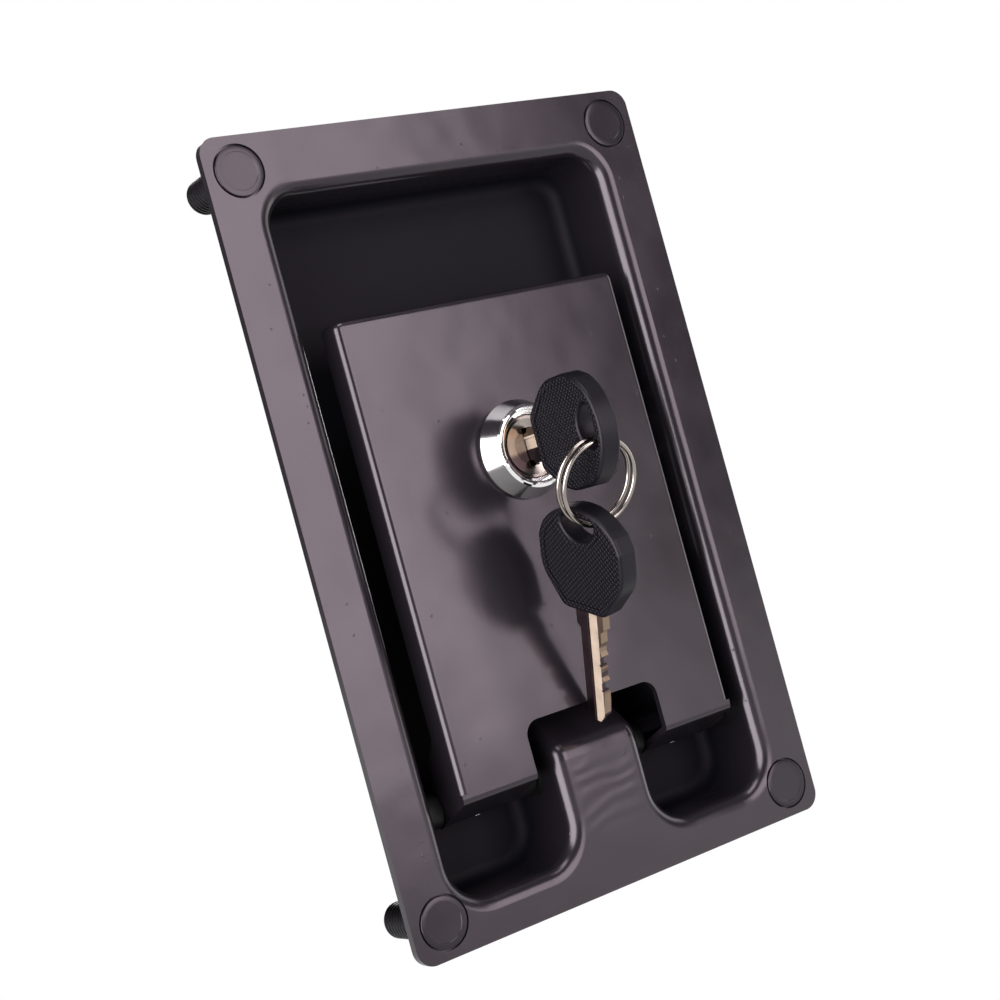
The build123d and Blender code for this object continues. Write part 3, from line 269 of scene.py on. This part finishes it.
def moulded_plastic(name, colour, roughness):
    """Injection-moulded plastic with a fine spark-eroded grain."""
    material, tree, output, place = new_material(name)
    grain = node(tree, "ShaderNodeTexNoise", Vector=place, Scale=1 / (0.35 * MM), Detail=3.0)
    rough = node(tree, "ShaderNodeMapRange", Value=grain.outputs[0], To_Min=roughness - 0.06,
                 To_Max=roughness + 0.08)
    lift = node(tree, "ShaderNodeBump", Strength=0.4, Distance=0.02 * MM, Height=grain.outputs[0])
    shader = node(tree, "ShaderNodeBsdfPrincipled", Base_Color=linear(colour), Roughness=rough.outputs[0],
                  Specular_IOR_Level=0.25, Normal=lift.outputs[0])
    tree.links.new(shader.outputs[0], output.inputs[0])
    return material


def knurled_plastic(name, turn):
    """Black key plastic whose flat panels are moulded with a diamond knurl; the border stays plain.
    turn takes the row frame to the key's own axes."""
    material, tree, output, place = new_material(name)
    own = node(tree, "ShaderNodeMapping", Vector=place, Rotation=tuple(turn.transposed().to_euler()))
    flat = sideways(tree, turn, panel_facing)
    crossed = []
    for angle in (math.radians(45), math.radians(-45)):
        rows = node(tree, "ShaderNodeMapping", Vector=own.outputs[0], Rotation=(angle, 0, 0))
        wave = node(tree, "ShaderNodeTexWave", {"bands_direction": "Z", "wave_profile": "TRI"},
                    Vector=rows.outputs[0], Scale=wave_length / knurl_pitch)
        crossed.append(wave.outputs[1])
    height = calculate(tree, "MULTIPLY", calculate(tree, "MULTIPLY", crossed[0], crossed[1]), flat)
    grain = node(tree, "ShaderNodeTexNoise", Vector=place, Scale=1 / (0.3 * MM), Detail=2.0)
    rough = node(tree, "ShaderNodeMapRange", Value=grain.outputs[0], To_Min=0.34, To_Max=0.48)
    knurl = node(tree, "ShaderNodeBump", Strength=0.8, Distance=0.3 * MM, Height=height)
    shader = node(tree, "ShaderNodeBsdfPrincipled", Base_Color=linear("#08070b"), Roughness=rough.outputs[0],
                  Specular_IOR_Level=0.24, Specular_Tint=linear("#f0e6f4"), Normal=knurl.outputs[0])
    tree.links.new(shader.outputs[0], output.inputs[0])
    return material


def key_blade_plate(name, blade, turn):
    """Key blank of nickel silver, its plain faces painted dark as a painted reflection of the dim room, with
    a bright cream band where the cutter milled its side beside the bitting. turn takes the row frame to the
    key's own axes."""
    material, tree, output, place = new_material(name)
    own = node(tree, "ShaderNodeMapping", Vector=place, Rotation=tuple(turn.transposed().to_euler()))
    edges = [(turn.transposed() @ corner.co).z for corner in blade.data.vertices]
    low_z, high_z = min(edges), max(edges)
    width = node(tree, "ShaderNodeSeparateXYZ", i0=own.outputs[0])
    across = node(tree, "ShaderNodeMapRange", Value=width.outputs[2], From_Min=low_z, From_Max=high_z)
    beyond = calculate(tree, "GREATER_THAN", across.outputs[0], milled_to)
    band = calculate(tree, "MULTIPLY", calculate(tree, "GREATER_THAN", across.outputs[0], milled_from),
                     calculate(tree, "LESS_THAN", across.outputs[0], milled_to))
    milled = calculate(tree, "MULTIPLY", band, sideways(tree, turn, blade_facing))
    smudge = node(tree, "ShaderNodeTexNoise", Vector=place, Scale=1 / (3.5 * MM), Detail=3.0)
    drawn = node(tree, "ShaderNodeMapping", Vector=own.outputs[0], Scale=(1, 0.06, 1))
    scratch = node(tree, "ShaderNodeTexNoise", Vector=drawn.outputs[0], Scale=1 / (0.25 * MM), Detail=2.0)
    # painted reflection: the blade's plain faces are painted dark for the dim room they reflect
    dark_reflection = blend(tree, smudge.outputs[0], linear("#33292f"), linear("#584b4e"))
    fresh = blend(tree, smudge.outputs[0], linear("#8c786a"), linear("#c4b3a3"))
    colour = blend(tree, milled, blend(tree, beyond, dark_reflection, linear("#8a7767")), fresh)
    metal = node(tree, "ShaderNodeMapRange", Value=milled, To_Min=1.0, To_Max=0.25)
    rough = node(tree, "ShaderNodeMapRange", Value=scratch.outputs[0], To_Min=0.24, To_Max=0.38)
    lift = node(tree, "ShaderNodeBump", Strength=0.3, Distance=0.02 * MM, Height=scratch.outputs[0])
    shader = node(tree, "ShaderNodeBsdfPrincipled", Base_Color=colour, Roughness=rough.outputs[0],
                  Metallic=metal.outputs[0], Normal=lift.outputs[0])
    tree.links.new(shader.outputs[0], output.inputs[0])
    return material


def second_key_turn():
    """Rotation that takes the row frame to the hanging key's axes: thickness, blade, width."""
    lean_x = math.tan(math.radians(second_key_side_tilt))
    lean_y = math.tan(math.radians(second_key_depth_tilt))
    down = Vector((lean_x, lean_y, -1)).normalized()
    flat = (Vector((1, 0, 0)) - down * down.x).normalized()
    side = down.cross(flat)
    twist = math.radians(second_key_twist)
    across = flat * math.cos(twist) - side * math.sin(twist)
    edge = across.cross(down)
    return Matrix((-across, down, -edge)).transposed()


hanging = second_key_turn()
coat = powder_coated_steel("powder_coated_steel", 0.5)
head_coat = powder_coated_steel("powder_coated_stud_head", 0.36)
stud_coat = worn_metal("blackened_thread_steel", "#2a282b", "#151416", 0.36, 0.6 * MM)
chrome = worn_metal("bright_chrome_plate", "#f0eeee", "#dedcdc", 0.06, 2.2 * MM, 0.02, 0.004)
plug_plate = worn_metal("turned_plug_face", "#a39a94", "#5f5753", 0.2, 0.5 * MM)
plastic = knurled_plastic("knurled_key_plastic_upper", Matrix.Identity(3))
hanging_plastic = knurled_plastic("knurled_key_plastic_lower", hanging)
bush_plastic = moulded_plastic("black_acetal", "#070708", 0.5)
key_plate = key_blade_plate("nickel_silver_key_upper", frame["nodes"]["key_1_blade"], Matrix.Identity(3))
hanging_plate = key_blade_plate("nickel_silver_key_lower", frame["nodes"]["key_2_blade"], hanging)
ring_plate = worn_metal("nickel_plated_wire", "#a89f98", "#857d78", 0.2, 0.8 * MM, 0.05)
zinc = worn_metal("bright_zinc_plate", "#c2c5c9", "#9fa3a8", 0.32, 1.2 * MM)
spring_wire = worn_metal("oiled_spring_wire", "#8d9096", "#5e6066", 0.3, 0.6 * MM)
oxide = worn_metal("black_oxide_steel", "#2b2b2e", "#19191b", 0.38, 0.7 * MM)
sintered = worn_metal("tumbled_sintered_steel", "#a9abb0", "#7f8186", 0.4, 0.5 * MM)
brass = worn_metal("stamped_brass", "#c8a04c", "#9c7a35", 0.3, 0.8 * MM)

by_slot = {"black_coat": coat, "black_stud": stud_coat, "zinc": zinc, "spring_steel": spring_wire,
           "black_oxide": oxide, "bolt_steel": sintered, "bush": bush_plastic, "chrome": chrome,
           "plug_metal": plug_plate, "brass": brass, "key_plastic": plastic, "key_metal": key_plate,
           "ring_steel": ring_plate}
for part in record["subparts"]:
    node_object = frame["nodes"][part["node"]]
    node_object.data.materials.clear()
    node_object.data.materials.append(by_slot[part["material_slot"]])
frame["nodes"]["key_2_bow"].data.materials[0] = hanging_plastic
frame["nodes"]["key_2_blade"].data.materials[0] = hanging_plate


# ---- pieces the CAD leaves plain ----------------------------------------------------
def select_only(piece):
    """Leaves one object selected and active."""
    bpy.ops.object.select_all(action="DESELECT")
    piece.select_set(True)
    bpy.context.view_layer.objects.active = piece


def chamfered_rod(name, radius, start_y, end_y, chamfer, segments=1):
    """Round rod about the Y axis with bevelled ends."""
    bpy.ops.object.select_all(action="DESELECT")
    bpy.ops.mesh.primitive_cylinder_add(vertices=rod_sides, radius=radius, depth=end_y - start_y,
                                        location=(0, (start_y + end_y) / 2, 0),
                                        rotation=(math.radians(90), 0, 0))
    rod = bpy.context.object
    rod.name = name
    bpy.ops.object.transform_apply(location=True, rotation=True, scale=True)
    bevel = rod.modifiers.new("ends", "BEVEL")
    bevel.width = chamfer
    bevel.segments = segments
    bevel.limit_method = "ANGLE"
    bpy.ops.object.modifier_apply(modifier=bevel.name)
    return rod


def ring_marked_head():
    """Stud head with a bevelled rim and a shallow round step left by the press tool."""
    head = chamfered_rod("stud_head", head_r, stud_low.y, stud_low.y + head_height, head_rim, rim_segments)
    for face in head.data.polygons:
        face.select = face.normal.y < front_facing
    for edge in head.data.edges:
        edge.select = False
    for corner in head.data.vertices:
        corner.select = False
    bpy.ops.object.mode_set(mode="EDIT")
    bpy.ops.mesh.select_mode(type="FACE")
    bpy.ops.mesh.inset(thickness=head_step)
    bpy.ops.mesh.inset(thickness=head_step_width)
    bpy.ops.transform.translate(value=(0, head_step_depth, 0))
    bpy.ops.object.mode_set(mode="OBJECT")
    return head


def outward(piece):
    """Turns every face normal outwards and smooths the shallow edges."""
    select_only(piece)
    bpy.ops.object.mode_set(mode="EDIT")
    bpy.ops.mesh.select_all(action="SELECT")
    bpy.ops.mesh.normals_make_consistent(inside=False)
    bpy.ops.object.mode_set(mode="OBJECT")
    bpy.ops.object.shade_smooth_by_angle(angle=math.radians(smooth_edge_degrees))


def threaded_shank():
    """Stud shank about the Y axis: a core with a helical thread wound on it."""
    shank = chamfered_rod("stud_shank", stud_r - thread_depth, flange_back_y - head_height / 2, stud_high.y,
                          stud_end_chamfer)
    turns = int((stud_high.y - flange_back_y - 2 * thread_pitch) / thread_pitch)
    bpy.ops.object.select_all(action="DESELECT")
    bpy.ops.mesh.primitive_plane_add(
        size=1, location=(stud_r - thread_depth / 2, flange_back_y + thread_pitch, 0))
    tooth = bpy.context.object
    tooth.scale = (thread_depth * tooth_height_share, thread_pitch * tooth_foot_share, 1)
    bpy.ops.object.transform_apply(location=True, rotation=True, scale=True)
    for corner in tooth.data.vertices:
        corner.select = corner.co.x > stud_r - thread_depth / 2
    for edge in tooth.data.edges:
        edge.select = all(tooth.data.vertices[i].select for i in edge.vertices)
    for face in tooth.data.polygons:
        face.select = False
    bpy.ops.object.mode_set(mode="EDIT")
    bpy.ops.transform.resize(value=(1, tooth_crest_share, 1))
    bpy.ops.transform.translate(value=(-thread_depth * tooth_sink_share, 0, 0))
    bpy.ops.mesh.select_all(action="SELECT")
    bpy.ops.mesh.delete(type="ONLY_FACE")
    bpy.ops.object.mode_set(mode="OBJECT")
    screw = tooth.modifiers.new("thread", "SCREW")
    screw.axis = "Y"
    screw.screw_offset = thread_pitch
    screw.iterations = turns
    screw.steps = screw.render_steps = thread_steps
    bpy.ops.object.modifier_apply(modifier=screw.name)
    bpy.ops.object.mode_set(mode="EDIT")
    bpy.ops.mesh.select_all(action="SELECT")
    bpy.ops.mesh.fill_holes(sides=4)
    bpy.ops.object.mode_set(mode="OBJECT")
    shank.select_set(True)
    bpy.context.view_layer.objects.active = shank
    bpy.ops.object.join()
    return shank


def at_studs(piece, material):
    """Finishes a stud piece, puts it and three copies at the four studs and lets them ride the dish."""
    outward(piece)
    piece.data.materials.clear()
    piece.data.materials.append(material)
    made = [piece]
    for _ in stud_places[1:]:
        select_only(piece)
        bpy.ops.object.duplicate()
        made.append(bpy.context.object)
    for item, (x, z) in zip(made, stud_places):
        select_only(item)
        item.location = (x, 0, z)
        bpy.ops.object.transform_apply(location=True, rotation=False, scale=False)
        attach(item, "dish")
        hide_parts("mounting_studs")


def coiled_spring():
    """The bolt's return spring: round wire wound as a helix at its resting length; the coil here does not
    close up as the bolt draws back.
    """
    middle = (spring_low + spring_high) / 2
    height = spring_high.z - spring_low.z - spring_wire_width
    coil_r = (spring_high.x - spring_low.x - spring_wire_width) / 2
    bpy.ops.object.select_all(action="DESELECT")
    bpy.ops.mesh.primitive_circle_add(vertices=wire_sides, radius=spring_wire_width / 2,
                                      location=(coil_r, 0, -height / 2), rotation=(math.radians(90), 0, 0))
    spring = bpy.context.object
    spring.name = "return_spring_coil"
    bpy.ops.object.transform_apply(location=True, rotation=True, scale=True)
    screw = spring.modifiers.new("coil", "SCREW")
    screw.axis = "Z"
    screw.screw_offset = height / spring_turns
    screw.iterations = spring_turns
    screw.steps = screw.render_steps = coil_steps
    bpy.ops.object.modifier_apply(modifier=screw.name)
    bpy.ops.object.mode_set(mode="EDIT")
    bpy.ops.mesh.select_all(action="SELECT")
    bpy.ops.mesh.fill_holes(sides=wire_sides)
    bpy.ops.object.mode_set(mode="OBJECT")
    spring.location = middle
    bpy.ops.object.transform_apply(location=True, rotation=False, scale=False)
    outward(spring)
    spring.data.materials.append(spring_wire)
    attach(spring, "dish")
    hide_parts("bolt_spring")
    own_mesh(spring)


at_studs(threaded_shank(), stud_coat)
at_studs(ring_marked_head(), head_coat)
coiled_spring()

# ---- floor, light and camera --------------------------------------------------------
bpy.ops.object.select_all(action="DESELECT")
bpy.ops.mesh.primitive_plane_add(size=floor_width, location=(0, 0, cad_low.z - floor_drop))
floor = bpy.context.object
floor.name = "studio_floor"
floor_material, floor_tree, floor_output, _ = new_material("lit_white_table")
glow = node(floor_tree, "ShaderNodeEmission", Color=linear("#ffffff"), Strength=1.0)
floor_tree.links.new(glow.outputs[0], floor_output.inputs[0])
floor.data.materials.append(floor_material)

# white round the view, with the dim room that the finishes reflect
world = bpy.data.worlds.new("studio")
bpy.context.scene.world = world
world.use_nodes = True
room = world.node_tree
room.nodes.clear()
seen = node(room, "ShaderNodeLightPath").outputs["Is Camera Ray"]
dim = node(room, "ShaderNodeBackground", Color=linear("#b9b2b8"), Strength=0.28)
bright = node(room, "ShaderNodeBackground", Color=linear("#ffffff"), Strength=1.0)
mixed = node(room, "ShaderNodeMixShader", i0=seen, i1=dim.outputs[0], i2=bright.outputs[0])
node(room, "ShaderNodeOutputWorld", i0=mixed.outputs[0])


def soft_box(name, direction, distance, width, height, power, roll=0, colour="#ffffff"):
    """Rectangular soft light that faces the origin, rolled by so many degrees in its own plane."""
    data = bpy.data.lights.new(name, "AREA")
    data.shape = "RECTANGLE"
    data.size, data.size_y, data.energy = width, height, power
    data.color = linear(colour)[:3]
    lamp = bpy.data.objects.new(name, data)
    bpy.context.collection.objects.link(lamp)
    lamp.location = Vector(direction).normalized() * distance
    facing = (-lamp.location).to_track_quat("-Z", "Y")
    lamp.rotation_euler = (facing @ Euler((0, 0, math.radians(roll))).to_quaternion()).to_euler()


soft_box("front_panel", (0.32, -0.95, 0.165), 1.1, 0.61, 0.74, 8.5, -3, "#fff8fb")
soft_box("low_panel", (0.64, -0.76, -0.24), 1.1, 0.3, 0.3, 0.22)
soft_box("left_panel", (-0.90, -0.42, 0.08), 1.0, 0.9, 1.3, 34)
soft_box("right_panel", (0.95, -0.20, 0.12), 1.0, 0.5, 0.8, 2.5)
soft_box("back_panel", (0.55, 0.85, 0.35), 1.2, 0.8, 0.9, 9)
soft_box("top_panel", (0.1, -0.5, 1.0), 1.1, 0.7, 0.4, 5)

camera_data = bpy.data.cameras.new("studio_camera")
camera_data.lens = 66.54
camera_data.sensor_width = 36.0
camera = bpy.data.objects.new("studio_camera", camera_data)
bpy.context.collection.objects.link(camera)
camera.location = (-0.23073754, -0.34357647, -0.00586813)
camera.rotation_euler = Euler((1.5876632, 0.2674485, -0.5735528), "XYZ")
bpy.context.scene.camera = camera
bpy.context.scene.view_settings.view_transform = "Standard"
